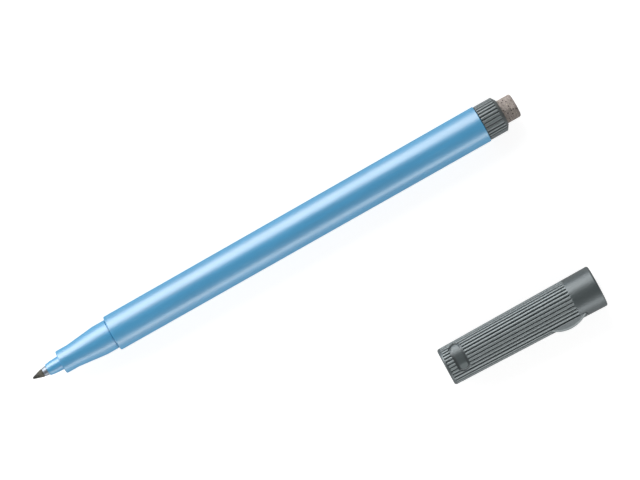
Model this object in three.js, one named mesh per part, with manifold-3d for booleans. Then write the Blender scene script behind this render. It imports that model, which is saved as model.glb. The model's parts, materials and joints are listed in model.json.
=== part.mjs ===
// An erasable marker pen lying uncapped on a table, with its ribbed cap beside it.
// Units are millimetres. X runs along the pen from the nib to the eraser, Y goes across and Z is up.
// Along the pen, x is measured from the tip of the nib. Along the cap, u is measured from its closed end.
import * as THREE from 'three';
import { mergeVertices } from 'three/addons/utils/BufferGeometryUtils.js';
import Module from 'manifold-3d';

// Pen: stations along the axis
const PEN_LENGTH = 138.8;
const NIB_SHOULDER_X = 2.9;
const NOSE_X = 4.25;
const NOSE_STEP_X = 8.1;
const SEAL_LAND_END_X = 11.6;
const SEAT_START_X = 19.2;
const BARREL_START_X = 22.75;
const BARREL_END_X = 129;
const PLUG_BEVEL_X = 133.95;
const PLUG_END_X = 134.8;

// Pen: radii
const BARREL_FRONT_R = 4.7;
const BARREL_REAR_R = 4.88;
const BARREL_BORE_R = 3.85;
const SEAT_R = 3.95;
const SEAL_LAND_R = 3.1;
const NOSE_R = 1.5;
const NOSE_STEP_R = 1.87;
const NOSE_BORE_R = 1.25;
const NIB_CONE_R = 1.08;
const NIB_TIP_R = 0.3;
const NIB_STEM_R = 0.75;
const PLUG_R = 4.7;
const ERASER_R = 3.15;

// Pen: inside
const SPIGOT_R = 3.7;
const FRONT_SPIGOT_END_X = 30;
const NIB_END_X = 42.3;
const SLEEVE_END_X = 13.6;
const SLEEVE_R = 1.12;
const SLEEVE_BORE_R = 0.88;
const RESERVOIR_START_X = 30.4;
const RESERVOIR_END_X = 117.5;
const RESERVOIR_R = 3.3;
const WRAP_THICKNESS = 0.15;
const PLUG_SPIGOT_START_X = 118;
const ERASER_POCKET_X = 127.6;
const FIT_GAP = 0.15;

// Ribs of the plug: even steps all round but for one wider groove, left by the mould
const PLUG_RIB_COUNT = 30;
const PLUG_RIB_STEP = THREE.MathUtils.degToRad(11.8);
const PLUG_FIRST_GROOVE = THREE.MathUtils.degToRad(5);

// Cap
const CAP_LENGTH = 43.1;
const CAP_CLOSED_R = 4.943;
const CAP_SLOPE = 0.0139;
const CAP_END_WALL = 1.3;
const CAP_SEAT_BORE_R = 4;
const CAP_MOUTH_BORE_R = 4.8;
const CAP_STEP_U = 28.6;
const RIBS_START_U = 0.7;
const RIBS_END_U = 35.75;
const CAP_RIB_COUNT = 27;
const CAP_RIB_STEP = THREE.MathUtils.degToRad(10.508);
const RIB_DEPTH = 0.3;
const GROOVE_FLOOR = 0.44;
const GROOVE_TOP = 0.62;

// Clip: a tongue cut free on three sides, with a nub near its loose end
const CLIP_ANGLE = THREE.MathUtils.degToRad(90);
const CLIP_ROOT_U = 7;
const CLIP_END_U = 37.2;
const CLIP_HALF = THREE.MathUtils.degToRad(34.6);
const SLOT_HALF = THREE.MathUtils.degToRad(38.4);
const SLOT_GAP = 0.3;
const CLIP_RIB_COUNT = 6;
const NUB_U = 32.6;
const NUB_HALF_LENGTH = 4.9;
const NUB_HALF_WIDTH = 3.5;
const NUB_BASE_R = 4.9;
const NUB_RISE = 1.4;

// Smooth pads near the closed end, one each side of the clip
const PAD_U = 4.25;
const PAD_WIDTH = 2.7;
const PAD_SPAN = 7.5;
const PAD_TURN = THREE.MathUtils.degToRad(100.8);
const PAD_MOAT = 0.25;

// Inner cap: a cup that seals round the nose
const INNER_CAP_R = 3.7;
const INNER_CAP_BORE_R = 3.35;
const INNER_CAP_LIP_R = 3.13;
const INNER_CAP_START_U = 1.6;
const INNER_CAP_END_U = 17;
const INNER_CAP_FLOOR = 0.8;

// Where the cap lies: its closed end beside the barrel, seen from the nib's tip
const CAP_CLOSED_X = 91.12;
const CAP_CLOSED_Y = -48.6;
const CAP_YAW = THREE.MathUtils.degToRad(-1.06);

const PEN_SEGMENTS = 48;
const NIB_SEGMENTS = 24;
const CAP_SEGMENTS = 72;
const AROUND = Math.PI * 2;

const wasm = await Module();
wasm.setup();

const UP_TO_ALONG = new THREE.Matrix4().makeBasis(
  new THREE.Vector3(0, 1, 0),
  new THREE.Vector3(0, 0, 1),
  new THREE.Vector3(1, 0, 0),
);

// Joins shared corners and drops the faces that have shrunk to a line, such as those at a pole.
function welded(geometry) {
  const plain = geometry.clone();
  plain.deleteAttribute('normal');
  plain.deleteAttribute('uv');
  const merged = mergeVertices(plain, 1e-4);
  const corners = merged.index.array;
  const kept = [];
  for (let i = 0; i < corners.length; i += 3) {
    const [a, b, c] = corners.slice(i, i + 3);
    if (a !== b && b !== c && c !== a) {
      kept.push(a, b, c);
    }
  }
  merged.setIndex(kept);
  return merged;
}

function solid(geometry) {
  const closed = welded(geometry);
  return new wasm.Manifold(
    new wasm.Mesh({
      numProp: 3,
      vertProperties: closed.attributes.position.array,
      triVerts: new Uint32Array(closed.index.array),
    }),
  );
}

function geometryOf(body) {
  const mesh = body.getMesh();
  const geometry = new THREE.BufferGeometry();
  geometry.setAttribute('position', new THREE.BufferAttribute(mesh.vertProperties, 3));
  geometry.setIndex(new THREE.BufferAttribute(mesh.triVerts, 1));
  geometry.computeVertexNormals();
  return geometry;
}

// A turned body on the X axis. The outline's [x, radius] points go out along the outside and back.
function turned(outline, segments) {
  const profile = outline.map(([x, radius]) => new THREE.Vector2(radius, x));
  const hollow = outline[0][1] > 0;
  if (hollow) {
    profile.push(profile[0].clone());
  }
  return new THREE.LatheGeometry(profile, segments).rotateZ(-Math.PI / 2);
}

// Points of a rounded edge on an outline, with angles in degrees from the +X direction.
function arc(x, radius, size, from, to, steps = 3) {
  const points = [];
  for (let i = 0; i <= steps; i += 1) {
    const angle = THREE.MathUtils.degToRad(from + ((to - from) * i) / steps);
    points.push([x + size * Math.cos(angle), radius + size * Math.sin(angle)]);
  }
  return points;
}

// A bar along X whose section is drawn as [across, outwards] points.
function bar(section, from, to) {
  const shape = new THREE.Shape(section.map(([across, out]) => new THREE.Vector2(across, out)));
  const geometry = new THREE.ExtrudeGeometry(shape, { depth: to - from, bevelEnabled: false });
  return geometry.applyMatrix4(UP_TO_ALONG).translate(from, 0, 0);
}

// A wedge about the X axis that reaches past every wall.
function wedge(half, from, to) {
  const reach = 11;
  const across = reach * Math.sin(half);
  const out = reach * Math.cos(half);
  return bar([[0, 0], [across, out], [-across, out]], from, to);
}

// The cutter for one groove between two ribs, lying on a surface that slopes away from the axis.
function groove(angle, from, to, surface, slope) {
  const section = [
    [-GROOVE_FLOOR / 2, -RIB_DEPTH],
    [GROOVE_FLOOR / 2, -RIB_DEPTH],
    [GROOVE_TOP / 2, RIB_DEPTH],
    [-GROOVE_TOP / 2, RIB_DEPTH],
  ];
  const cutter = bar(section, 0, (to - from) / Math.cos(Math.atan(slope)));
  return cutter.rotateY(-Math.atan(slope)).translate(from, 0, surface).rotateX(angle);
}

function cutAll(body, cutters) {
  return cutters.reduce((rest, cutter) => rest.subtract(solid(cutter)), body);
}

function capRadius(u) {
  return CAP_CLOSED_R + CAP_SLOPE * u;
}

function mesh(name, geometry, color, roughness, metalness = 0) {
  const piece = new THREE.Mesh(
    geometry,
    new THREE.MeshStandardMaterial({ color, roughness, metalness }),
  );
  piece.name = name;
  return piece;
}

// Barrel: a moulded tube that grows a little towards the rear
function makeBarrel() {
  const outline = [
    ...arc(BARREL_START_X + 0.35, BARREL_FRONT_R - 0.35, 0.35, 180, 90),
    ...arc(BARREL_END_X - 0.15, BARREL_REAR_R - 0.15, 0.15, 90, 0, 2),
    [BARREL_END_X, BARREL_BORE_R],
    [BARREL_START_X, BARREL_BORE_R],
  ];
  return mesh('barrel', turned(outline, PEN_SEGMENTS), 0x4795c2, 0.35);
}

// Front section: nose tube, sealing land, cone and the seat that the cap grips, with a spigot behind
function makeFrontSection() {
  const seatEnd = BARREL_START_X - FIT_GAP;
  const chamber = 2.2;
  const outline = [
    [NOSE_X, NOSE_BORE_R],
    [NOSE_X, NOSE_R - 0.12],
    [NOSE_X + 0.12, NOSE_R],
    [NOSE_STEP_X - 2.4, NOSE_STEP_R - 0.13],
    [NOSE_STEP_X, NOSE_STEP_R],
    ...arc(NOSE_STEP_X + 0.25, SEAL_LAND_R - 0.33, 0.25, 180, 90),
    [SEAL_LAND_END_X, SEAL_LAND_R],
    [SEAT_START_X, SEAT_R],
    [seatEnd, SEAT_R],
    [seatEnd, SPIGOT_R],
    [FRONT_SPIGOT_END_X - 0.4, SPIGOT_R],
    [FRONT_SPIGOT_END_X, SPIGOT_R - 0.3],
    [FRONT_SPIGOT_END_X, chamber],
    [SLEEVE_END_X + 2, chamber],
    [SLEEVE_END_X + 0.6, NOSE_BORE_R],
  ];
  return mesh('front_section', turned(outline, PEN_SEGMENTS), 0x4795c2, 0.35);
}

// Nib sleeve: a thin metal tube that holds the nib in the nose and shows as a short cone
function makeNibSleeve() {
  const front = NIB_SHOULDER_X + 0.1;
  const outline = [
    [front, SLEEVE_BORE_R],
    [front, NIB_CONE_R],
    [NOSE_X - FIT_GAP, NIB_CONE_R + 0.2],
    [NOSE_X - FIT_GAP, SLEEVE_R],
    [SLEEVE_END_X, SLEEVE_R],
    [SLEEVE_END_X, SLEEVE_BORE_R],
  ];
  return mesh('nib_sleeve', turned(outline, NIB_SEGMENTS), 0xb4b9c4, 0.3, 0.9);
}

// Nib: a rod of bonded fibre, ground to a cone in front, whose stem drinks from the reservoir
function makeNib() {
  const outline = [
    [0, 0],
    ...arc(NIB_TIP_R, 0, NIB_TIP_R, 150, 108, 2),
    [NIB_SHOULDER_X - 0.4, NIB_CONE_R - 0.07],
    [NIB_SHOULDER_X, NIB_CONE_R],
    [NIB_SHOULDER_X, NIB_STEM_R],
    [NIB_END_X - 0.4, NIB_STEM_R],
    [NIB_END_X, NIB_STEM_R / 2],
    [NIB_END_X, 0],
  ];
  return mesh('fibre_nib', turned(outline, NIB_SEGMENTS), 0x2e2f2c, 0.85);
}

// Ink reservoir: a long core of fibre with a blind hole for the nib's stem
function makeReservoir() {
  const holeEnd = NIB_END_X + 0.6;
  const holeR = NIB_STEM_R + FIT_GAP;
  const outline = [
    [holeEnd, 0],
    [holeEnd, holeR],
    [RESERVOIR_START_X, holeR],
    [RESERVOIR_START_X, RESERVOIR_R],
    [RESERVOIR_END_X, RESERVOIR_R],
    [RESERVOIR_END_X, 0],
  ];
  return mesh('ink_reservoir', turned(outline, PEN_SEGMENTS), 0x2b2c30, 0.95);
}

// Reservoir wrap: the thin film that keeps the ink in the core
function makeReservoirWrap() {
  const inner = RESERVOIR_R + 0.1;
  const outline = [
    [RESERVOIR_START_X, inner],
    [RESERVOIR_START_X, inner + WRAP_THICKNESS],
    [RESERVOIR_END_X, inner + WRAP_THICKNESS],
    [RESERVOIR_END_X, inner],
  ];
  return mesh('reservoir_wrap', turned(outline, PEN_SEGMENTS), 0xd8dde0, 0.25);
}

// Rear plug: a ribbed stopper with a hollow spigot in the barrel and a pocket for the eraser
function makeRearPlug() {
  const shoulder = BARREL_END_X + FIT_GAP;
  const pocketR = ERASER_R + FIT_GAP;
  const web = ERASER_POCKET_X - 1.2;
  const hollowR = SPIGOT_R - 0.8;
  const outline = [
    [PLUG_SPIGOT_START_X, hollowR],
    [PLUG_SPIGOT_START_X, SPIGOT_R - 0.2],
    [PLUG_SPIGOT_START_X + 0.3, SPIGOT_R],
    [shoulder, SPIGOT_R],
    [shoulder, PLUG_R - 0.1],
    [shoulder + 0.1, PLUG_R],
    [PLUG_BEVEL_X, PLUG_R],
    [PLUG_END_X, pocketR + 0.12],
    [PLUG_END_X, pocketR],
    [ERASER_POCKET_X, pocketR],
    [ERASER_POCKET_X, 0.5],
    [web, 0.5],
    [web, hollowR],
  ];
  const grooves = [];
  for (let i = 0; i < PLUG_RIB_COUNT - 1; i += 1) {
    const angle = PLUG_FIRST_GROOVE - i * PLUG_RIB_STEP;
    grooves.push(groove(angle, shoulder - 0.5, PLUG_BEVEL_X + 0.15, PLUG_R, 0));
  }
  const wide = PLUG_FIRST_GROOVE + (AROUND - (PLUG_RIB_COUNT - 2) * PLUG_RIB_STEP) / 2;
  const spread = PLUG_RIB_STEP / 4;
  for (const angle of [wide - spread, wide, wide + spread]) {
    grooves.push(groove(angle, shoulder - 0.5, PLUG_BEVEL_X + 0.15, PLUG_R, 0));
  }
  const head = cutAll(solid(turned(outline, PEN_SEGMENTS)), grooves);
  return mesh('rear_plug', geometryOf(head), 0x5f6464, 0.5);
}

// Eraser: a short rod of firm speckled rubber, softly rounded by use
function makeEraser() {
  const edge = 0.45;
  const start = ERASER_POCKET_X + FIT_GAP;
  const outline = [
    [start, 0],
    [start, ERASER_R - 0.2],
    [start + 0.2, ERASER_R],
    ...arc(PEN_LENGTH - 0.2 - edge, ERASER_R - edge, edge, 90, 15),
    [PEN_LENGTH, ERASER_R / 3],
    [PEN_LENGTH, 0],
  ];
  return mesh('eraser', turned(outline, PEN_SEGMENTS), 0x8b8580, 0.9);
}

function padPrism(width, span, angle) {
  const half = width / 2;
  const straight = span / 2 - half;
  const shape = new THREE.Shape();
  shape.absarc(0, straight, half, 0, Math.PI, false);
  shape.absarc(0, -straight, half, Math.PI, AROUND, false);
  const prism = new THREE.ExtrudeGeometry(shape, {
    depth: 5,
    bevelEnabled: false,
    curveSegments: 6,
  });
  return prism.translate(PAD_U, 0, 2).rotateX(angle);
}

// Ring between a radius below the cap's surface and one above it, for cutting on its slope
function capRing(below, above, from, to) {
  const outline = [
    [from, capRadius(from) - below],
    [from, capRadius(from) + above],
    [to, capRadius(to) + above],
    [to, capRadius(to) - below],
  ];
  return solid(turned(outline, CAP_SEGMENTS));
}

// Cap shell: closed end, ribbed taper, smooth band at the mouth and a window for the clip
function makeCapShell() {
  const edge = 0.6;
  const lip = 0.55;
  const mouthR = capRadius(CAP_LENGTH);
  const outline = [
    [0, 0],
    ...arc(edge, CAP_CLOSED_R - edge, edge, 180, 92, 2),
    ...arc(CAP_LENGTH - lip, mouthR - lip, lip, 90, 15),
    [CAP_LENGTH, CAP_MOUTH_BORE_R + 0.1],
    [CAP_LENGTH - 0.4, CAP_MOUTH_BORE_R],
    [CAP_STEP_U, CAP_MOUTH_BORE_R],
    [CAP_STEP_U - 0.5, CAP_SEAT_BORE_R],
    [CAP_END_WALL, CAP_SEAT_BORE_R],
    [CAP_END_WALL, 0],
  ];
  const blank = solid(turned(outline, CAP_SEGMENTS));
  const grooves = [];
  const arcOfRibs = (CAP_RIB_COUNT - 1) * CAP_RIB_STEP;
  const opposite = CLIP_ANGLE + Math.PI;
  for (let i = 0; i < CAP_RIB_COUNT - 1; i += 1) {
    const angle = opposite - arcOfRibs / 2 + (i + 0.5) * CAP_RIB_STEP;
    grooves.push(groove(angle, RIBS_START_U, RIBS_END_U, capRadius(RIBS_START_U), CAP_SLOPE));
  }
  let body = cutAll(blank, grooves);
  const moatRing = capRing(RIB_DEPTH, 1, PAD_U - 3, PAD_U + 3);
  const padRing = capRing(RIB_DEPTH + 0.1, 0, PAD_U - 3, PAD_U + 3);
  for (const side of [-1, 1]) {
    const angle = CLIP_ANGLE + side * PAD_TURN;
    const wide = solid(padPrism(PAD_WIDTH + 2 * PAD_MOAT, PAD_SPAN + 2 * PAD_MOAT, angle));
    const narrow = solid(padPrism(PAD_WIDTH, PAD_SPAN, angle));
    body = body.subtract(moatRing.intersect(wide)).add(padRing.intersect(narrow));
  }
  const slot = wedge(SLOT_HALF, CLIP_ROOT_U, CLIP_END_U + SLOT_GAP).rotateX(CLIP_ANGLE);
  return mesh('cap_shell', geometryOf(body.subtract(solid(slot))), 0x5c6566, 0.4);
}

// Clip: the ribbed tongue, thinner where it passes the barrel, and its nub
function makeClip() {
  const root = CLIP_ROOT_U + SLOT_GAP;
  const thickPart = CAP_SEAT_BORE_R + 0.25;
  const thinPart = CAP_MOUTH_BORE_R + 0.05;
  const outline = [
    [root, thickPart],
    [root, capRadius(root)],
    [CLIP_END_U, capRadius(CLIP_END_U)],
    [CLIP_END_U, thinPart],
    [CAP_STEP_U - 0.4, thinPart],
    [CAP_STEP_U - 1, thickPart],
  ];
  const tongue = solid(turned(outline, CAP_SEGMENTS)).intersect(
    solid(wedge(CLIP_HALF, root - 1, CLIP_END_U + 1)),
  );
  const grooves = [];
  for (let i = 0; i <= CLIP_RIB_COUNT; i += 1) {
    const angle = (i - CLIP_RIB_COUNT / 2) * CAP_RIB_STEP;
    const start = CLIP_ROOT_U + 0.9;
    grooves.push(groove(angle, start, NUB_U - NUB_HALF_LENGTH, capRadius(start), CAP_SLOPE));
  }
  const ball = new THREE.SphereGeometry(1, 24, 14)
    .scale(NUB_HALF_LENGTH, NUB_HALF_WIDTH, NUB_RISE)
    .translate(NUB_U, 0, NUB_BASE_R);
  const outside = capRing(0.3, 4, NUB_U - 6, CLIP_END_U - 0.2);
  const nub = solid(ball)
    .intersect(outside)
    .intersect(solid(wedge(CLIP_HALF, NUB_U - 6, NUB_U + 6)));
  const body = cutAll(tongue, grooves).add(nub);
  return mesh('cap_clip', geometryOf(body).rotateX(CLIP_ANGLE), 0x5c6566, 0.4);
}

// Inner cap: a thin cup pushed into the cap, whose lip seals round the nose behind the nib
function makeInnerCap() {
  const lip = 1.5;
  const outline = [
    [INNER_CAP_START_U, 0],
    [INNER_CAP_START_U, INNER_CAP_R - 0.3],
    [INNER_CAP_START_U + 0.3, INNER_CAP_R],
    [INNER_CAP_END_U, INNER_CAP_R],
    [INNER_CAP_END_U, INNER_CAP_LIP_R + 0.2],
    [INNER_CAP_END_U - 0.4, INNER_CAP_LIP_R],
    [INNER_CAP_END_U - lip, INNER_CAP_LIP_R],
    [INNER_CAP_END_U - lip - 0.3, INNER_CAP_BORE_R],
    [INNER_CAP_START_U + INNER_CAP_FLOOR, INNER_CAP_BORE_R],
    [INNER_CAP_START_U + INNER_CAP_FLOOR, 0],
  ];
  return mesh('inner_cap', turned(outline, PEN_SEGMENTS), 0xc9cdcc, 0.45);
}

// The pen lies on the fattest part of its barrel.
const pen = new THREE.Group();
pen.add(
  makeBarrel(),
  makeFrontSection(),
  makeNibSleeve(),
  makeNib(),
  makeReservoir(),
  makeReservoirWrap(),
  makeRearPlug(),
  makeEraser(),
);
pen.position.z = BARREL_REAR_R;

// The cap lies on its tapered side, so its axis rises towards the mouth.
const capPitch = Math.atan(CAP_SLOPE);
const cap = new THREE.Group();
cap.add(makeCapShell(), makeInnerCap(), makeClip());
cap.rotation.set(0, -capPitch, CAP_YAW, 'ZYX');
cap.position.set(CAP_CLOSED_X, CAP_CLOSED_Y, CAP_CLOSED_R * Math.cos(capPitch));

// The origin is on the table, under the middle of the space that pen and cap take together.
const marker = new THREE.Group();
marker.add(pen, cap);
const space = new THREE.Box3().setFromObject(marker, true);
const middle = space.getCenter(new THREE.Vector3());
marker.position.set(-middle.x, -middle.y, -space.min.z);

export default marker;
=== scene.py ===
"""An erasable marker lying uncapped on a pale table, with its ribbed cap beside it.

Sizes are millimetres until a piece is put in its place. Along the pen they are measured from the
tip of the nib, along the cap from its closed end. Angles round the cap and the plug start at the
top and go towards the clip's side.
"""

import json
from math import atan2, cos, hypot, pi, radians, sin, sqrt

import bmesh
import bpy
from mathutils import Matrix, Vector


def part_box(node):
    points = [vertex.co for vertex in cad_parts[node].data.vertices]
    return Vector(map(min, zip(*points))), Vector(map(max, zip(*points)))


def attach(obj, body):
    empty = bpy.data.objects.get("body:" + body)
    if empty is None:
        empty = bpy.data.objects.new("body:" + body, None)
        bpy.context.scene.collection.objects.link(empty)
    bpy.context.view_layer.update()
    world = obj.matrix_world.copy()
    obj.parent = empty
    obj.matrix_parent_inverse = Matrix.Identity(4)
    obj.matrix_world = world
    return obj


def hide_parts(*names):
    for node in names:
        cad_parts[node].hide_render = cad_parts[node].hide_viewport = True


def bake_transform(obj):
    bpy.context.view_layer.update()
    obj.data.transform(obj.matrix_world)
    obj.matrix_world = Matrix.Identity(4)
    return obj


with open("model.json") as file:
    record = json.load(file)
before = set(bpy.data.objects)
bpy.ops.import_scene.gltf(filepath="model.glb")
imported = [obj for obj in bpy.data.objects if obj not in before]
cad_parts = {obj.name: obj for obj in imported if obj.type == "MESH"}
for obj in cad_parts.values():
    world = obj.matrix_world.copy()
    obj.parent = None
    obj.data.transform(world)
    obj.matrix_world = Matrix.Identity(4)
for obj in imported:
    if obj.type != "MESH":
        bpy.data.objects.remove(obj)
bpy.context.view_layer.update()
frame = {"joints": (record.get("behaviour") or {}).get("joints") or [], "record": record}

# The view. It is straight down from a metre above the table through a long lens, as goods are
# photographed for a catalogue, and turned so that the pen runs up to the right.
mm = 0.001
lens_height = 980
below_lens = (10.1, 20.0)
view_turn = radians(-29.57)
sensor_width = 36
focal_length = 219.4
camera = bpy.data.objects.new("camera", bpy.data.cameras.new("camera"))
camera.data.sensor_width = sensor_width
camera.data.lens = focal_length
camera.location = Vector((*below_lens, lens_height)) * mm
camera.rotation_euler = (0, 0, view_turn)
bpy.context.scene.collection.objects.link(camera)
bpy.context.scene.camera = camera
bpy.context.scene.view_settings.view_transform = "Standard"


# The light. The room is white low down all round and dim higher up. A wide soft box stands on the
# pen's far side, set towards the nib. A long narrow one stands lower down on the cap's side, with
# a fill above it that gives no gloss.
class Signal:
    """What a shader node gives out. A sum on it adds the Math node that works it out."""

    def __init__(self, nodes, socket):
        self.nodes = nodes
        self.socket = socket

    def maths(self, operation, *values):
        return self.nodes.node("ShaderNodeMath", {"operation": operation}, dict(enumerate(values)))

    def __add__(self, other):
        return self.maths("ADD", self, other)

    def __rsub__(self, other):
        return self.maths("SUBTRACT", other, self)

    def __mul__(self, other):
        return self.maths("MULTIPLY", self, other)

    __radd__ = __add__
    __rmul__ = __mul__


class Nodes:
    """The nodes of the room or of a finish, and the shader that they feed."""

    def __init__(self, owner, shader):
        owner.use_nodes = True
        self.tree = owner.node_tree
        self.shader = self.tree.nodes[shader]

    def node(self, kind, settings, values, output=0):
        """Adds any node: its settings first, then the values or links of its sockets."""
        made = self.tree.nodes.new(kind)
        for name, setting in settings.items():
            setattr(made, name, setting)
        for socket, value in values.items():
            self.feed(made.inputs[socket], value)
        return Signal(self, made.outputs[output])

    def feed(self, socket, value):
        if isinstance(value, Signal):
            self.tree.links.new(value.socket, socket)
        else:
            socket.default_value = value

    def set(self, socket, value):
        self.feed(self.shader.inputs[socket], value)

    def blend(self, share, first, second):
        """A colour that goes from the first to the second as the share goes from 0 to 1."""
        values = {0: share, 6: first, 7: second}
        return self.node("ShaderNodeMix", {"data_type": "RGBA"}, values, output=2)

    def step(self, signal, low, high):
        """A soft step from 0 to 1 as the signal goes from low to high."""
        values = {"Value": signal, "From Min": low, "From Max": high}
        return self.node("ShaderNodeMapRange", {"interpolation_type": "SMOOTHSTEP"}, values)

    def part(self, axis, vector):
        return self.node("ShaderNodeSeparateXYZ", {}, {"Vector": vector}, axis)


horizon_light = 0.5
ceiling_light = 0.19
dim_height = 0.12
bpy.context.scene.world = bpy.data.worlds.new("white_room")
room = Nodes(bpy.context.scene.world, "Background")
room.set("Color", (1, 1, 1, 1))
height = room.part("Z", room.node("ShaderNodeTexCoord", {}, {}, "Generated"))
dimmed = (horizon_light - ceiling_light) * room.step(height, 0, dim_height)
room.set("Strength", horizon_light - dimmed)

lamp_distance = 0.7
lamp_length = 1.5


def soft_box(name, tilt, width, radiance, aside=0):
    """A rectangular lamp along the pen, in metres. It is tilted by degrees from straight up
    towards +Y, and set aside on X."""
    lamp = bpy.data.lights.new(name, "AREA")
    lamp.shape = "RECTANGLE"
    lamp.size = lamp_length
    lamp.size_y = width
    lamp.energy = radiance * pi * lamp_length * width
    stand = bpy.data.objects.new(name, lamp)
    stand.location = Vector((0, sin(radians(tilt)), cos(radians(tilt)))) * lamp_distance
    stand.location.x = aside
    stand.rotation_euler = (radians(-tilt), 0, 0)
    stand.visible_camera = False
    bpy.context.scene.collection.objects.link(stand)
    return stand


soft_box("far_side_lamp", tilt=61, width=0.66, radiance=3.0, aside=-0.56)
soft_box("near_side_lamp", tilt=-73, width=0.28, radiance=2.0)
fill = soft_box("near_side_fill", tilt=-45, width=0.6, radiance=0.75)
fill.visible_glossy = False


# The table. It is a plain white laminate top, wide enough for every view, and it isn't part of
# the marker. It looks white to the lens and in reflections, and keeps the marker's soft shadows.
class Finish(Nodes):
    """A material. What is the same all over it goes straight on the shader's sockets."""

    def __init__(self, name, constants):
        self.material = bpy.data.materials.new(name)
        super().__init__(self.material, "Principled BSDF")
        for socket, value in constants.items():
            self.set(socket, value)


def colour(red, green, blue):
    """A screen colour, each part from 0 to 255, in the shader's own scale."""
    parts = [part / 255 for part in (red, green, blue)]
    return (*[((p + 0.055) / 1.055) ** 2.4 if p > 0.04 else p / 12.92 for p in parts], 1)


table_grey = (0.5, 0.5, 0.5, 1)
seen_lift = 0.75
mirrored_lift = 0.15
black = (0, 0, 0, 1)
white = (1, 1, 1, 1)
table_reach = 20
laminate = {"Base Color": table_grey, "Roughness": 0.7, "Specular IOR Level": 0.2}
top = Finish("white_laminate", laminate)
seen, mirrored, through = [
    top.node("ShaderNodeLightPath", {}, {}, f"Is {ray} Ray")
    for ray in ("Camera", "Glossy", "Transmission")
]
lift = seen * seen_lift + (mirrored + through) * mirrored_lift
top.set("Emission Color", top.blend(lift, black, white))
top.set("Emission Strength", 1)
bm = bmesh.new()
bmesh.ops.create_grid(bm, x_segments=1, y_segments=1, size=table_reach)
mesh = bpy.data.meshes.new("table_top")
bm.to_mesh(mesh)
bm.free()
mesh.materials.append(top.material)
table = bpy.data.objects.new("table_top", mesh)
bpy.context.scene.collection.objects.link(table)


# Barrel. It is a long round tube of pearly sky-blue plastic, moulded a little fatter towards the
# rear so that it comes off its core. The rim that the cap slides over is rounded.
tip = Vector((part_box("fibre_nib")[0].x, *(sum(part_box("barrel"), Vector()) / 2).yz))
pen_place = Matrix.Translation(tip) @ Matrix.Scale(mm, 4)


def span(node):
    """Where a node of the pen starts and ends, from the tip of the nib."""
    return [(corner.x - tip.x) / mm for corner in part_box(node)]


def outer_radius(node):
    low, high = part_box(node)
    return (high.z - low.z) / 2 / mm


same_spot = 1e-4


def turned(outline, steps=144):
    """A round body on the X axis: the (x, radius) points of its outline, spun once round."""
    bm = bmesh.new()
    points = [bm.verts.new((x, 0, radius)) for x, radius in outline]
    hollow = outline[0][1] > 0
    after = points[1:] + points[:1] if hollow else points[1:]
    lines = [bm.edges.new(pair) for pair in zip(points, after)]
    bmesh.ops.spin(
        bm,
        geom=points + lines,
        axis=(1, 0, 0),
        cent=(0, 0, 0),
        angle=2 * pi,
        steps=steps,
        use_merge=True,
    )
    bmesh.ops.remove_doubles(bm, verts=bm.verts, dist=same_spot)
    bmesh.ops.recalc_face_normals(bm, faces=bm.faces)
    return bm


def round_edges(bm, edges, size, segments):
    bmesh.ops.bevel(
        bm,
        geom=edges,
        offset=size,
        segments=segments,
        profile=0.5,
        affect="EDGES",
        material=-1,
        clamp_overlap=True,
    )


def round_ring(bm, x, radius, size, segments=4):
    """Rounds the edge that runs once round a turned body at that place."""
    near = 0.01
    ring = [
        edge
        for edge in bm.edges
        if all(abs(v.co.x - x) < near and abs(v.co.yz.length - radius) < near for v in edge.verts)
    ]
    round_edges(bm, ring, size, segments)


sharp_angle = radians(35)


def made_piece(name, bm, place, finish):
    """Puts a body in its place in the frame, with its finish on it."""
    bm.transform(place)
    mesh = bpy.data.meshes.new(name)
    bm.to_mesh(mesh)
    bm.free()
    mesh.shade_smooth()
    mesh.set_sharp_from_angle(angle=sharp_angle)
    mesh.materials.append(finish.material)
    made = bpy.data.objects.new(name, mesh)
    bpy.context.scene.collection.objects.link(made)
    even = made.modifiers.new("even_shading", "WEIGHTED_NORMAL")
    even.keep_sharp = True
    return made


def on_piece(finish, place):
    """Millimetres along, across and up from the start of the piece's axis."""
    spot = finish.node("ShaderNodeTexCoord", {}, {}, "Object")
    values = {
        "Vector": spot,
        "Location": place.to_translation(),
        "Rotation": place.to_euler(),
        "Scale": place.to_scale(),
    }
    return finish.node("ShaderNodeMapping", {"vector_type": "TEXTURE"}, values)


def stretched(finish, spot, scale, turn=(0, 0, 0)):
    return finish.node("ShaderNodeMapping", {}, {"Vector": spot, "Scale": scale, "Rotation": turn})


def noise(finish, spot, scale, detail=3, roughness=0.5):
    values = {"Vector": spot, "Scale": scale, "Detail": detail, "Roughness": roughness}
    return finish.node("ShaderNodeTexNoise", {}, values)


def scratches(finish, spot):
    """Hairline marks of use that run mostly along the piece, as 0 or 1."""
    marks = 0
    for turn in (0.25, -0.4, 1.2):
        streaks = stretched(finish, spot, (0.12, 3.5, 3.5), (turn, turn / 3, turn))
        marks = marks + finish.step(noise(finish, streaks, 1, 2), 0.7, 0.73)
    return marks


def relief(finish, *layers):
    """Stacks bumps. Each layer is a height signal and how far it reaches in millimetres."""
    normal = None
    for height, reach in layers:
        values = {"Height": height, "Distance": reach * mm, "Strength": 1}
        if normal:
            values["Normal"] = normal
        normal = finish.node("ShaderNodeBump", {}, values)
    finish.set("Normal", normal)


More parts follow.
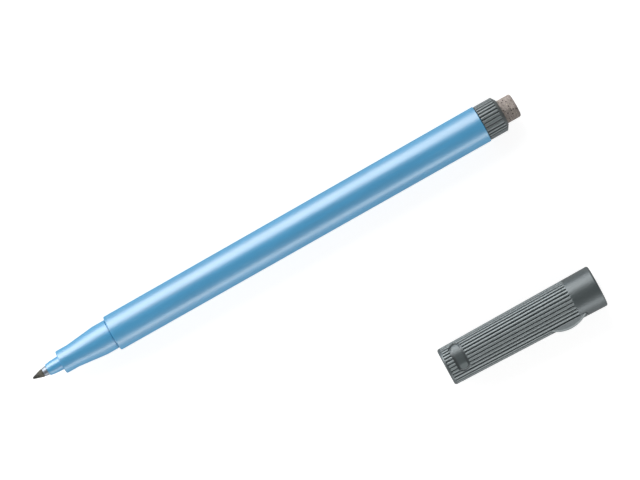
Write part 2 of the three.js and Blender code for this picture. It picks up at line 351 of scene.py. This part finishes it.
blue = Finish("pearly_blue_plastic", {"IOR": 2.05, "Specular IOR Level": 1.0})
spot = on_piece(blue, pen_place)
flow = noise(blue, stretched(blue, spot, (0.03, 0.5, 0.5)), 1, 4)
flakes = noise(blue, spot, 9, 1)
rubbed = scratches(blue, spot)
smudge = noise(blue, stretched(blue, spot, (0.12, 0.3, 0.3)), 1, 3)
deep_blue = colour(3, 147, 200)
light_blue = colour(11, 157, 212)
pearl_blue = colour(110, 180, 216)
base = blue.blend(blue.step(flow, 0.3, 0.7), deep_blue, light_blue)
base = blue.blend(blue.step(flakes, 0.55, 0.8) * 0.25, base, pearl_blue)
base = blue.blend(rubbed * 0.2, base, pearl_blue)
blue.set("Base Color", base)
blue.set("Roughness", 0.34 + 0.08 * smudge + 0.05 * rubbed)
skin = noise(blue, spot, 1.3, 2)
relief(blue, (skin, 0.01), (flakes, 0.002), (rubbed, -0.004))

barrel_start, barrel_end = span("barrel")
barrel_rear_r = outer_radius("barrel")
barrel_front_r = 4.7
barrel_bore_r = 3.85
front_round = 0.35
rear_round = 0.15
bore_round = 0.1
push_fit_gap = 0.15
tube = turned(
    [
        (barrel_start, barrel_bore_r),
        (barrel_start, barrel_front_r),
        (barrel_end, barrel_rear_r),
        (barrel_end, barrel_bore_r),
    ]
)
round_ring(tube, barrel_start, barrel_front_r, front_round, 6)
round_ring(tube, barrel_end, barrel_rear_r, rear_round)
round_ring(tube, barrel_start, barrel_bore_r, bore_round, 2)
round_ring(tube, barrel_end, barrel_bore_r, bore_round, 2)
barrel = made_piece("barrel_tube", tube, pen_place, blue)
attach(barrel, "pen")
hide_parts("barrel")


# Front section. It is a second moulding of the same blue: a nose tube for the nib, a land that
# the cap seals on, a cone and a seat that the cap grips. Its spigot is pushed into the barrel.
nose_x, front_spigot_end = span("front_section")
seat_end = barrel_start - push_fit_gap
nose_r = 1.5
nose_bore_r = 1.25
nose_step_x = 8.1
nose_step_r = 1.87
nose_taper_x = 5.7
nose_taper_r = 1.74
land_r = 3.1
land_end = 11.6
seat_start = 19.2
seat_r = 3.95
spigot_r = 3.7
spigot_round = 0.28
chamber_r = 2.2
chamber_start = 15.6
nose_bore_end = 14.2
rim_round = 0.14
nose_bore_round = rim_round / 3
land_round = 0.3
step_fillet = 0.12
moulding = turned(
    [
        (nose_x, nose_bore_r),
        (nose_x, nose_r),
        (nose_taper_x, nose_taper_r),
        (nose_step_x, nose_step_r),
        (nose_step_x, land_r),
        (land_end, land_r),
        (seat_start, seat_r),
        (seat_end, seat_r),
        (seat_end, spigot_r),
        (front_spigot_end, spigot_r),
        (front_spigot_end, chamber_r),
        (chamber_start, chamber_r),
        (nose_bore_end, nose_bore_r),
    ]
)
round_ring(moulding, nose_x, nose_r, rim_round)
round_ring(moulding, nose_x, nose_bore_r, nose_bore_round, 2)
round_ring(moulding, nose_step_x, land_r, land_round, 6)
round_ring(moulding, nose_step_x, nose_step_r, step_fillet)
round_ring(moulding, seat_end, seat_r, rim_round)
round_ring(moulding, front_spigot_end, spigot_r, spigot_round)
front = made_piece("front_moulding", moulding, pen_place, blue)
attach(front, "pen")
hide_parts("front_section")


# Nib sleeve. It is a short length of drawn steel tube, rolled in to a cone in front, that holds
# the nib. It is pressed into the nose and shows as a bright collar.
sleeve_start, sleeve_end = span("nib_sleeve")
sleeve_r = 1.12
sleeve_bore_r = 0.88
collar_r = 1.08
collar_end_r = 1.28
collar_end = nose_x - push_fit_gap
collar_front_round = 0.06
collar_rear_round = 0.05
thin_steps = 96
steel = Finish("drawn_steel", {"Metallic": 1.0, "IOR": 2.5})
spot = on_piece(steel, pen_place)
turning = noise(steel, stretched(steel, spot, (14, 0.6, 0.6)), 1, 3)
stain = noise(steel, spot, 1.4, 3)
inky = steel.step(steel.part("X", spot) + stain * 0.5, 3.55, 3.2)
base = steel.blend(turning, colour(150, 158, 168), colour(184, 192, 202))
steel.set("Base Color", steel.blend(inky * 0.45, base, colour(96, 94, 92)))
steel.set("Roughness", 0.32 + 0.14 * turning + 0.1 * stain)
relief(steel, (turning, 0.004))
collar = turned(
    [
        (sleeve_start, sleeve_bore_r),
        (sleeve_start, collar_r),
        (collar_end, collar_end_r),
        (collar_end, sleeve_r),
        (sleeve_end, sleeve_r),
        (sleeve_end, sleeve_bore_r),
    ],
    thin_steps,
)
round_ring(collar, sleeve_start, collar_r, collar_front_round, 3)
round_ring(collar, collar_end, collar_end_r, collar_rear_round, 3)
sleeve = made_piece("sleeve_tube", collar, pen_place, steel)
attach(sleeve, "pen")
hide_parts("nib_sleeve")


# Nib. It is a rod of bonded fibres, ground to a cone in front and worn smooth at its tip. Black
# ink soaks it. Its stem runs back through the sleeve into the reservoir.
nib_start, nib_end = span("fibre_nib")
cone_end = 2.9
cone_r = 1.08
cone_round = 0.08
worn_x = 2.5
worn_r = 1.01
stem_r = 0.75
stem_taper = 0.4
point_face = 0.04
point_face_r = 0.15
point_length = 0.2
point_r = 0.28
point_round = 0.1
fibre = Finish("inked_fibre_nib", {"Specular IOR Level": 0.35, "Sheen Roughness": 0.6})
spot = on_piece(fibre, pen_place)
along = fibre.part("X", spot)
strands = noise(fibre, stretched(fibre, spot, (0.7, 9, 9)), 1, 3)
pores = noise(fibre, spot, 11, 2)
dry = fibre.step(along + 0.9 * noise(fibre, spot, 1.6, 2), 1.3, 3.1)
wet_black = colour(34, 35, 34)
dry_brown = colour(98, 96, 88)
base = fibre.blend(dry, wet_black, dry_brown)
base = fibre.blend(fibre.step(strands, 0.45, 0.7) * 0.5, base, colour(128, 124, 114))
base = fibre.blend(fibre.step(pores, 0.6, 0.72) * 0.6, base, colour(20, 20, 21))
fibre.set("Base Color", base)
fibre.set("Roughness", 0.5 + 0.35 * dry)
relief(fibre, (strands, 0.05), (pores, 0.02))
rod = turned(
    [
        (nib_start, 0),
        (nib_start + point_face, point_face_r),
        (nib_start + point_length, point_r),
        (worn_x, worn_r),
        (cone_end, cone_r),
        (cone_end, stem_r),
        (nib_end - stem_taper, stem_r),
        (nib_end, stem_r / 2),
        (nib_end, 0),
    ],
    thin_steps,
)
round_ring(rod, nib_start + point_length, point_r, point_round)
round_ring(rod, cone_end, cone_r, cone_round, 3)
nib = made_piece("nib_rod", rod, pen_place, fibre)
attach(nib, "pen")
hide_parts("fibre_nib")


# Ink reservoir. It is a long core of crimped fibre soaked with ink, which fills the barrel from
# the front section to the plug. The nib's stem is pushed into a hole in its front end.
core_start, core_end = span("ink_reservoir")
core_r = outer_radius("ink_reservoir")
core_round = 0.25
stem_hole_r = 0.9
stem_hole_spare = 0.6
stem_hole_end = nib_end + stem_hole_spare
soaked = Finish("ink_soaked_fibre", {"Specular IOR Level": 0.3})
spot = on_piece(soaked, pen_place)
crimp = noise(soaked, stretched(soaked, spot, (1.2, 5, 5)), 1, 4)
soaked.set("Base Color", soaked.blend(crimp, colour(26, 27, 31), colour(72, 73, 80)))
soaked.set("Roughness", 0.6 + 0.3 * crimp)
relief(soaked, (crimp, 0.08))
core = turned(
    [
        (stem_hole_end, 0),
        (stem_hole_end, stem_hole_r),
        (core_start, stem_hole_r),
        (core_start, core_r),
        (core_end, core_r),
        (core_end, 0),
    ],
    thin_steps,
)
round_ring(core, core_start, core_r, core_round)
round_ring(core, core_end, core_r, core_round)
reservoir = made_piece("fibre_core", core, pen_place, soaked)
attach(reservoir, "pen")
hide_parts("ink_reservoir")


# Reservoir wrap. It is a thin clear film rolled tight round the fibre core. It keeps the ink off
# the barrel's wall and lets the core slide in.
film_thickness = 0.15
film = Finish("clear_film", {"IOR": 1.49, "Transmission Weight": 0.6})
spot = on_piece(film, pen_place)
creases = noise(film, stretched(film, spot, (0.15, 1.5, 1.5)), 1, 3)
film.set("Base Color", film.blend(creases, colour(206, 211, 214), colour(232, 236, 238)))
film.set("Roughness", 0.15 + 0.2 * creases)
relief(film, (creases, 0.05))
wrap_r = outer_radius("reservoir_wrap")
wrap_bore_r = wrap_r - film_thickness
tube = turned(
    [
        (core_start, wrap_bore_r),
        (core_start, wrap_r),
        (core_end, wrap_r),
        (core_end, wrap_bore_r),
    ],
    thin_steps,
)
wrap = made_piece("film_wrap", tube, pen_place, film)
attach(wrap, "pen")
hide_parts("reservoir_wrap")


# Rear plug. It is a dark grey stopper, ribbed so that it can be gripped, with a bevelled end and
# a pocket for the eraser. Its hollow spigot is pushed into the barrel and stays there.
plug_spigot_start, plug_end = span("rear_plug")
plug_r = 4.7
plug_shoulder = barrel_end + push_fit_gap
plug_bevel_x = 133.95
plug_rim_r = 3.42
pocket_x = 127.6
pocket_r = 3.3
pocket_floor = 1.2
plug_hollow_r = 2.9
vent_r = 0.5
plug_spigot_round = 0.3
plug_shoulder_round = 0.08
plug_bevel_round = 0.1
plug_rim_round = 0.04
plug_skin = 0.12
rib_steps = 480
plug_pitch = radians(11.8)
wide_groove_angle = radians(19.8)
wide_groove_half = radians(8.9)
rib_depth = 0.32


def away(angle, centre):
    """How far an angle is from another one, the shorter way round."""
    return abs((angle - centre + pi) % (2 * pi) - pi)


def ramp(value, low, high):
    """A soft step from 0 to 1."""
    share = min(max((value - low) / (high - low), 0), 1)
    return share * share * (3 - 2 * share)


def groove_share(phase):
    """Domed ribs with a narrow groove between: 0 on a crest and 1 in a groove, a rib to a phase."""
    steepest = 0.7
    dome_share = 0.55
    wall_foot = 0.6
    aside = 2 * abs(phase - round(phase))
    dome = (1 - sqrt(1 - (steepest * aside) ** 2)) / (1 - sqrt(1 - steepest**2))
    return dome_share * dome + (1 - dome_share) * ramp(aside, wall_foot, 1)


def plug_wave(angle):
    """The ribs' wave round the plug, with one wide groove in it."""
    turn = away(angle, wide_groove_angle)
    if turn < wide_groove_half:
        return groove_share(0.5 - 0.5 * turn / wide_groove_half)
    return groove_share((turn - wide_groove_half) / plug_pitch)


def pressed(bm, surface, painted_light_at):
    """Moves each point of a turned body in or out, to the radius that its surface has there, and
    notes the light painted there: 1 for a painted highlight, -1 for painted shade, 0 for none."""
    painted_light = bm.verts.layers.float.new("painted_light")
    for v in bm.verts:
        radius = v.co.yz.length
        if radius > 0:
            x = v.co.x
            angle = atan2(-v.co.y, v.co.z)
            v[painted_light] = painted_light_at(x, angle, radius)
            shift = surface(x, angle, radius) / radius
            v.co.y *= shift
            v.co.z *= shift


def painted_rib_light(share):
    """Painted light at that share of a groove's depth: 1 is a crest's highlight, -1 a groove's
    shade.
    """
    crest_end = 0.01
    dark_start = 0.34
    return 1 - 2 * ramp(share, crest_end, dark_start)


def grey_plastic(name, place):
    """Dark grey satin plastic, with painted highlights on the rib crests and painted shade in
    grooves.
    """
    cool_gloss = (0.9, 0.97, 1, 1)
    grey = Finish(name, {"IOR": 1.8, "Specular IOR Level": 1.0, "Specular Tint": cool_gloss})
    spot = on_piece(grey, place)
    painted_light = grey.node("ShaderNodeAttribute", {"attribute_name": "painted_light"}, {}, "Fac")
    crest_highlight = grey.step(painted_light, 0, 1)
    grain = noise(grey, spot, 7, 3)
    cloud = noise(grey, stretched(grey, spot, (0.15, 0.4, 0.4)), 1, 3)
    patchy = noise(grey, stretched(grey, spot, (0.5, 2.5, 2.5)), 1, 3)
    rubbed = scratches(grey, spot)
    base = grey.blend(grey.step(cloud, 0.3, 0.7), colour(47, 56, 57), colour(54, 63, 63))
    # Painted shade: the grooves and the moats round the pads are darkened where shade falls.
    base = grey.blend(grey.step(painted_light, 0, -1) * 0.85, base, colour(24, 29, 30))
    # Painted highlight: the crests, the pads' ends and the nub's edges are made paler.
    base = grey.blend(crest_highlight * (0.6 + 0.4 * patchy), base, colour(130, 139, 139))
    base = grey.blend(grey.step(grain, 0.6, 0.75) * 0.2, base, colour(104, 111, 110))
    base = grey.blend(rubbed * 0.2, base, colour(120, 126, 126))
    grey.set("Base Color", base)
    grey.set("Roughness", 0.39 + 0.06 * cloud)
    relief(grey, (noise(grey, spot, 2, 2), 0.012), (grain, 0.008), (rubbed, -0.004))
    return grey


# How strong the painted highlight on the plug's crests is at most.
plug_crest_highlight = 0.45
bevel_steps = 10
bevel = [
    (
        plug_bevel_x + (plug_end - plug_bevel_x) * i / bevel_steps,
        plug_r + (plug_rim_r - plug_r) * i / bevel_steps,
    )
    for i in range(bevel_steps + 1)
]
head = turned(
    [
        (plug_spigot_start, plug_hollow_r),
        (plug_spigot_start, spigot_r),
        (plug_shoulder, spigot_r),
        (plug_shoulder, plug_r),
        *bevel,
        (plug_end, pocket_r),
        (pocket_x, pocket_r),
        (pocket_x, vent_r),
        (pocket_x - pocket_floor, vent_r),
        (pocket_x - pocket_floor, plug_hollow_r),
    ],
    rib_steps,
)
round_ring(head, plug_spigot_start, spigot_r, plug_spigot_round)
round_ring(head, plug_shoulder, plug_r, plug_shoulder_round, 3)
round_ring(head, plug_bevel_x, plug_r, plug_bevel_round, 3)
round_ring(head, plug_end, plug_rim_r, plug_rim_round, 2)


def plug_surface(x, angle, radius):
    return min(radius, plug_r - rib_depth * plug_wave(angle))


# Painted highlight on the plug's crests and painted shade in its grooves.
def plug_painted_light(x, angle, radius):
    return min(painted_rib_light(plug_wave(angle)), plug_crest_highlight) if radius > plug_r - plug_skin else 0


pressed(head, plug_surface, plug_painted_light)
plug_grey = grey_plastic("grey_plug_plastic", pen_place)
plug = made_piece("plug_head", head, pen_place, plug_grey)
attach(plug, "pen")
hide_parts("rear_plug")


# Eraser. It is a short rod of firm brown-grey rubber with darker and paler grains in it, pushed
# into the plug's pocket. Rubbing has softened the edge of its face.
eraser_start, eraser_end = span("eraser")
eraser_r = outer_radius("eraser")
eraser_flat_r = 1.05
eraser_dome = 0.2
eraser_inner_round = 0.2
eraser_edge_round = 0.5
eraser_face_round = 0.9
rubber = Finish("speckled_rubber", {"Specular IOR Level": 0.25})
spot = on_piece(rubber, pen_place)
grain_size = {"Vector": spot, "Scale": 1.7}
grains = rubber.node("ShaderNodeTexVoronoi", {"feature": "F1"}, grain_size, "Distance")
tint = rubber.node("ShaderNodeTexVoronoi", {"feature": "F1"}, grain_size, "Color")
kind = rubber.node("ShaderNodeSeparateColor", {}, {"Color": tint}, "Red")
patches = noise(rubber, spot, 0.6, 3)
fine = noise(rubber, stretched(rubber, spot, (2.2, 1, 1), (0, 0, 0.5)), 2, 4, 0.7)
# Painted shade: the eraser's side towards the cap, at lower Y, is darkened in patches.
painted_shade = rubber.step(rubber.part("Y", spot) + 2 * patches, 1.3, 0.5)
base = rubber.blend(rubber.step(patches, 0.35, 0.65), colour(172, 162, 156), colour(192, 180, 174))
base = rubber.blend(rubber.step(fine, 0.48, 0.66) * 0.7, base, colour(106, 100, 92))
speck = rubber.step(grains, 0.36, 0.22)
base = rubber.blend(speck * rubber.step(kind, 0.45, 0.5), base, colour(40, 36, 34))
base = rubber.blend(speck * rubber.step(kind, 0.3, 0.26), base, colour(204, 196, 178))
base = rubber.blend(painted_shade * 0.5, base, colour(58, 56, 51))
rubber.set("Base Color", base)
rubber.set("Roughness", 0.75 + 0.2 * fine)
relief(rubber, (fine, 0.05), (speck, -0.02))
rod = turned(
    [
        (eraser_start, 0),
        (eraser_start, eraser_r),
        (eraser_end - eraser_dome, eraser_r),
        (eraser_end, eraser_flat_r),
        (eraser_end, 0),
    ]
)
round_ring(rod, eraser_start, eraser_r, eraser_inner_round)
round_ring(rod, eraser_end - eraser_dome, eraser_r, eraser_edge_round, 8)
round_ring(rod, eraser_end, eraser_flat_r, eraser_face_round, 8)
eraser = made_piece("eraser_rod", rod, pen_place, rubber)
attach(eraser, "pen")
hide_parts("eraser")


# Cap shell. It is one dark grey moulding, wider towards its mouth, with fine ribs for the fingers
# and a smooth band. Two smooth pads lie near its closed end, and a window frees the clip.
mounts = {mount["name"]: mount for mount in frame["record"]["mounts"]}
joints = {joint["name"]: joint for joint in frame["joints"]}
cap_axis = -Vector(mounts["cap_closed_end"]["axis"])
cap_up = -Vector(joints["clip_flex"]["axis"])
cap_turn = Matrix((cap_axis, cap_up.cross(cap_axis), cap_up)).transposed().to_4x4()
cap_place = Matrix.Translation(mounts["cap_closed_end"]["pos_m"]) @ cap_turn @ Matrix.Scale(mm, 4)

cap_length = 43.1
cap_closed_r = 4.943
cap_slope = 0.0139
end_wall = 1.3
end_round = 0.6
mouth_round = 0.5
seat_bore_r = 4.0
mouth_bore_r = 4.8
mouth_bore_round = 0.12
bore_step_u = 28.6
bore_step_length = 0.5
ribs_start = 0.62
ribs_end = 35.75
cap_ribs = 27
cap_pitch = radians(10.508)
clip_angle = radians(90)
rib_shift = radians(-3.8)
broad_rib = radians(14.3)
slot_half = 51 * 2 * pi / rib_steps
clip_root_u = 7.0
clip_end_u = 37.2
slot_gap = 0.3
clip_ribs = 7
rib_run = 0.4
pad_u = 4.25
pad_width = 2.2
pad_span = 7.7
pad_turn = radians(104.5)
pad_sink = 0.03
pad_hollow = 0.6
pad_skew = 0.8
# How strong the painted highlight on the pads' ends is, and where across the pad it starts and is
# full.
pad_end_highlight = 0.6
pad_end_highlight_start = 0.45
pad_end_highlight_full = 0.7
pad_step = 0.08
moat_width = 0.36
soft_edge = 0.2
cap_skin_depth = 0.02


def cap_radius(u):
    return cap_closed_r + cap_slope * u


def bore_radius(u):
    share = min(max((u - bore_step_u) / bore_step_length + 1, 0), 1)
    return seat_bore_r + (mouth_bore_r - seat_bore_r) * share


def cap_wave(angle):
    """The ribs' wave round the cap. Its pitch is a little wider on the clip, to fill the window,
    and the top rib beside the window is a broad one."""
    turn = away(angle, clip_angle)
    seam = pi - (cap_ribs / 2) * cap_pitch
    if turn < seam:
        return groove_share(turn / seam * clip_ribs / 2)
    if abs(angle) < clip_angle and turn - seam < broad_rib:
        return groove_share(0.5 + (turn - seam) / broad_rib)
    return groove_share(away(angle, rib_shift - clip_angle) / cap_pitch)


def rib_run_share(u):
    """How much of their depth the grooves have there: they run out at both ends."""
    closed_end = ramp(u, ribs_start, ribs_start + rib_run / 2)
    return closed_end * (1 - ramp(u, ribs_end - rib_run, ribs_end))


def pad_near(u, angle):
    """How far a place lies outside the nearer pad's rim, and where it is across the pad: from -1
    at the end away from the clip to 1 at the end towards it."""
    across = (pad_turn - away(angle, clip_angle)) * cap_radius(u)
    beyond = max(abs(across) - (pad_span - pad_width) / 2, 0)
    return hypot(u - pad_u, beyond) - pad_width / 2, 2 * across / pad_span


def ribbed(u, angle):
    """How deep the cap's surface lies at that place, with its grooves, pads and moats."""
    depth = rib_depth * cap_wave(angle) * rib_run_share(u)
    rim, aside = pad_near(u, angle)
    if rim < moat_width + soft_edge:
        wall = ramp(rim, -soft_edge, soft_edge / 4)
        moat = rib_depth * wall * (1 - ramp(rim, moat_width, moat_width + soft_edge))
        hollow = pad_hollow * max(1 - aside * aside, 0) * (1 + pad_skew * aside)
        depth = max(depth * wall, moat, pad_sink + hollow)
    return depth


def cap_painted_light(u, angle, radius):
    """Painted highlights on the crests and the pads' ends, and painted shade in the grooves and
    moats.
    """
    if radius < cap_radius(u) - cap_skin_depth:
        return 0
    rim, aside = pad_near(u, angle)
    if rim < 0:
        return pad_end_highlight * ramp(aside, pad_end_highlight_start, pad_end_highlight_full) - ramp(rim, -soft_edge / 2, 0)
    moat = 1 - ramp(rim, moat_width, moat_width + soft_edge)
    return painted_rib_light(cap_wave(angle)) * rib_run_share(u) * (1 - moat) - moat


def cap_skin(u, angle, radius):
    on_skin = radius > cap_radius(u) - cap_skin_depth and u > ribs_start
    return cap_radius(u) - ribbed(u, angle) if on_skin else radius


def stations(start, end, step):
    """Places from the start to the end, as evenly as the step allows."""
    count = round((end - start) / step)
    return [start + (end - start) * i / count for i in range(count + 1)]


def sector(outline, half, steps):
    """A closed outline of (u, radius) points, swept round the cap's axis across the clip."""
    bm = bmesh.new()
    face = bm.faces.new([bm.verts.new((u, 0, radius)) for u, radius in outline])
    bm.transform(Matrix.Rotation(clip_angle - half, 4, "X"))
    geom = bm.verts[:] + bm.edges[:] + [face]
    bmesh.ops.spin(bm, geom=geom, axis=(1, 0, 0), cent=(0, 0, 0), angle=2 * half, steps=steps)
    bmesh.ops.remove_doubles(bm, verts=bm.verts, dist=same_spot)
    bmesh.ops.recalc_face_normals(bm, faces=bm.faces)
    return bm


window_end_u = clip_end_u + slot_gap
pad_zone = stations(ribs_start, clip_root_u, pad_step)
run_out = stations(ribs_end - rib_run, ribs_end, rib_run / 6)
bore_step_rows = [bore_step_u - bore_step_length, bore_step_u]
window_rows = [clip_root_u, *bore_step_rows, *run_out, window_end_u]
shell = turned(
    [
        (0, 0),
        (0, cap_closed_r),
        *[(u, cap_radius(u)) for u in pad_zone[:-1] + window_rows],
        (cap_length, cap_radius(cap_length)),
        (cap_length, mouth_bore_r),
        *[(u, bore_radius(u)) for u in reversed(window_rows)],
        (end_wall, seat_bore_r),
        (end_wall, 0),
    ],
    rib_steps,
)
round_ring(shell, 0, cap_closed_r, end_round, 6)
round_ring(shell, cap_length, cap_radius(cap_length), mouth_round, 6)
round_ring(shell, cap_length, mouth_bore_r, mouth_bore_round, 3)
pressed(shell, cap_skin, cap_painted_light)
opening = []
for face in shell.faces:
    middle = face.calc_center_median()
    inside = away(atan2(-middle.y, middle.z), clip_angle) < slot_half
    if inside and clip_root_u < middle.x < window_end_u:
        opening.append(face)
bmesh.ops.delete(shell, geom=opening, context="FACES")
bmesh.ops.bridge_loops(shell, edges=[edge for edge in shell.edges if edge.is_boundary])
bmesh.ops.recalc_face_normals(shell, faces=shell.faces)
cap_grey = grey_plastic("grey_cap_plastic", cap_place)
cap = made_piece("cap_body", shell, cap_place, cap_grey)
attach(cap, "cap")
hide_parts("cap_shell")


# Clip. It is a tongue of the cap's own wall, cut free on three sides and ribbed like the rest.
# A smooth nub near its loose end presses on the cloth of a pocket.
clip_steps = 98
clip_half = clip_steps * pi / rib_steps
loose_gap = 0.13
loose_end_u = window_end_u - loose_gap
clip_start = clip_root_u + slot_gap
thick_inner_r = 4.25
thick_end_u = bore_step_u - 1
thin_inner_r = 4.85
thin_start_u = bore_step_u - 0.4
nub_u = 32.35
nub_half_length = 5.1
nub_top = 6.295
nub_curve = 7.8
nub_flank_slope = 0.577
nub_flank_reach = 5.75
nub_edge_round = 0.45
# How far from the nub's edges the painted highlight reaches.
nub_edge_highlight_reach = 0.8
nub_start = nub_u - nub_half_length
nub_lead = 0.5
nub_step = 0.1
nub_fillet = 0.12
rib_fade_before = 0.3
rib_fade_after = 0.6
clip_edge_round = 0.07
clip_skin_depth = 0.1


def nub_near(u, angle):
    """Where a line out of the cap's axis leaves the nub, and how far that is from an edge. The
    nub's outer wall is a bow along the clip, between two sloping flanks."""
    turn = away(angle, clip_angle)
    bow = sqrt(max(nub_curve**2 - (u - nub_u) ** 2, 0)) - nub_curve
    wall = (nub_top + bow) / cos(turn)
    flank = nub_flank_reach / (sin(turn) + nub_flank_slope * cos(turn))
    off_edge = abs(wall - flank)
    overlap = max(1 - off_edge / nub_edge_round, 0)
    return min(wall, flank) - overlap * overlap * nub_edge_round / 4, off_edge


def clip_rib_share(u):
    """How much of their depth the ribs keep on the clip: they fade out where the nub begins."""
    return 1 - ramp(u, nub_start - rib_fade_before, nub_start + rib_fade_after)


def clip_skin(u, angle, radius):
    if radius < cap_radius(u) - clip_skin_depth:
        return radius
    plain = radius - ribbed(u, angle) * clip_rib_share(u)
    nub = nub_near(u, angle)[0]
    overlap = max(nub_fillet - abs(plain - nub), 0) / nub_fillet
    return max(plain, nub) + overlap * overlap * nub_fillet / 4


def clip_painted_light(u, angle, radius):
    """The ribs' painted light, and a painted highlight along the nub's edges."""
    nub, off_edge = nub_near(u, angle)
    if nub > cap_radius(u) and radius > cap_radius(u) - clip_skin_depth:
        return 1 - ramp(off_edge, nub_edge_highlight_reach / 2, nub_edge_highlight_reach)
    return cap_painted_light(u, angle, radius) * clip_rib_share(u)


nub_rows = stations(nub_start - nub_lead, loose_end_u, nub_step)
tongue = sector(
    [
        (clip_start, thick_inner_r),
        *[(u, cap_radius(u)) for u in [clip_start] + nub_rows],
        (loose_end_u, thin_inner_r),
        (thin_start_u, thin_inner_r),
        (thick_end_u, thick_inner_r),
    ],
    clip_half,
    clip_steps,
)
near = 0.01
near_turn = 0.001
rim = []
for edge in tongue.edges:
    ends = [(v.co.x, away(atan2(-v.co.y, v.co.z), clip_angle), v.co.yz.length) for v in edge.verts]
    outside = all(radius > cap_radius(u) - near for u, turn, radius in ends)
    side = all(turn > clip_half - near_turn for u, turn, radius in ends)
    loose_end = all(u > loose_end_u - near for u, turn, radius in ends)
    if outside and (side or loose_end):
        rim.append(edge)
round_edges(tongue, rim, clip_edge_round, 3)
pressed(tongue, clip_skin, clip_painted_light)
clip = made_piece("clip_tongue", tongue, cap_place, cap_grey)
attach(clip, "clip")
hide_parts("cap_clip")


# Clip root. It is the strip of the same moulding that joins the clip to the cap. The real strip
# bends when the clip lifts; here it is fixed in place.
root_overlap = 0.15
root_step = 0.1
root_inset = 0.02
root_sink = 0.01
root_side_inset = radians(0.3)
strip_rows = stations(clip_root_u - root_overlap, clip_start + root_overlap, root_step)
strip = sector(
    [
        (strip_rows[0], thick_inner_r + root_inset),
        *[(u, cap_radius(u) - root_sink) for u in strip_rows],
        (strip_rows[-1], thick_inner_r + root_inset),
    ],
    clip_half - root_side_inset,
    clip_steps,
)


def strip_skin(u, angle, radius):
    return radius - ribbed(u, angle) if radius > cap_radius(u) - cap_skin_depth else radius


pressed(strip, strip_skin, cap_painted_light)
root = made_piece("clip_root", strip, cap_place, cap_grey)
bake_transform(root)


# Inner cap. It is a thin cup of natural plastic pushed into the cap. Its lip closes on the land
# behind the nose, so that the ink doesn't dry.
inner_r = 3.7
inner_bore_r = 3.35
lip_r = 3.13
inner_start = 1.6
inner_end = 17.0
lip_length = 1.5
lip_slope = 0.3
lip_round = 0.2
cup_floor = 0.8
cup_end_round = 0.3
cup_rim_round = 0.08
milky_constants = {"IOR": 1.5, "Subsurface Weight": 0.15, "Subsurface Scale": 0.0005}
natural = Finish("natural_plastic", milky_constants)
spot = on_piece(natural, cap_place)
milky = noise(natural, spot, 0.7, 3)
natural.set("Base Color", natural.blend(milky, colour(196, 200, 199), colour(212, 215, 213)))
natural.set("Roughness", 0.35 + 0.2 * milky)
relief(natural, (noise(natural, spot, 5, 3), 0.006))
cup = turned(
    [
        (inner_start, 0),
        (inner_start, inner_r),
        (inner_end, inner_r),
        (inner_end, lip_r),
        (inner_end - lip_length, lip_r),
        (inner_end - lip_length - lip_slope, inner_bore_r),
        (inner_start + cup_floor, inner_bore_r),
        (inner_start + cup_floor, 0),
    ]
)
round_ring(cup, inner_start, inner_r, cup_end_round)
round_ring(cup, inner_end, inner_r, cup_rim_round, 3)
round_ring(cup, inner_end, lip_r, lip_round)
inner_cap = made_piece("inner_cup", cup, cap_place, natural)
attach(inner_cap, "cap")
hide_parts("inner_cap")
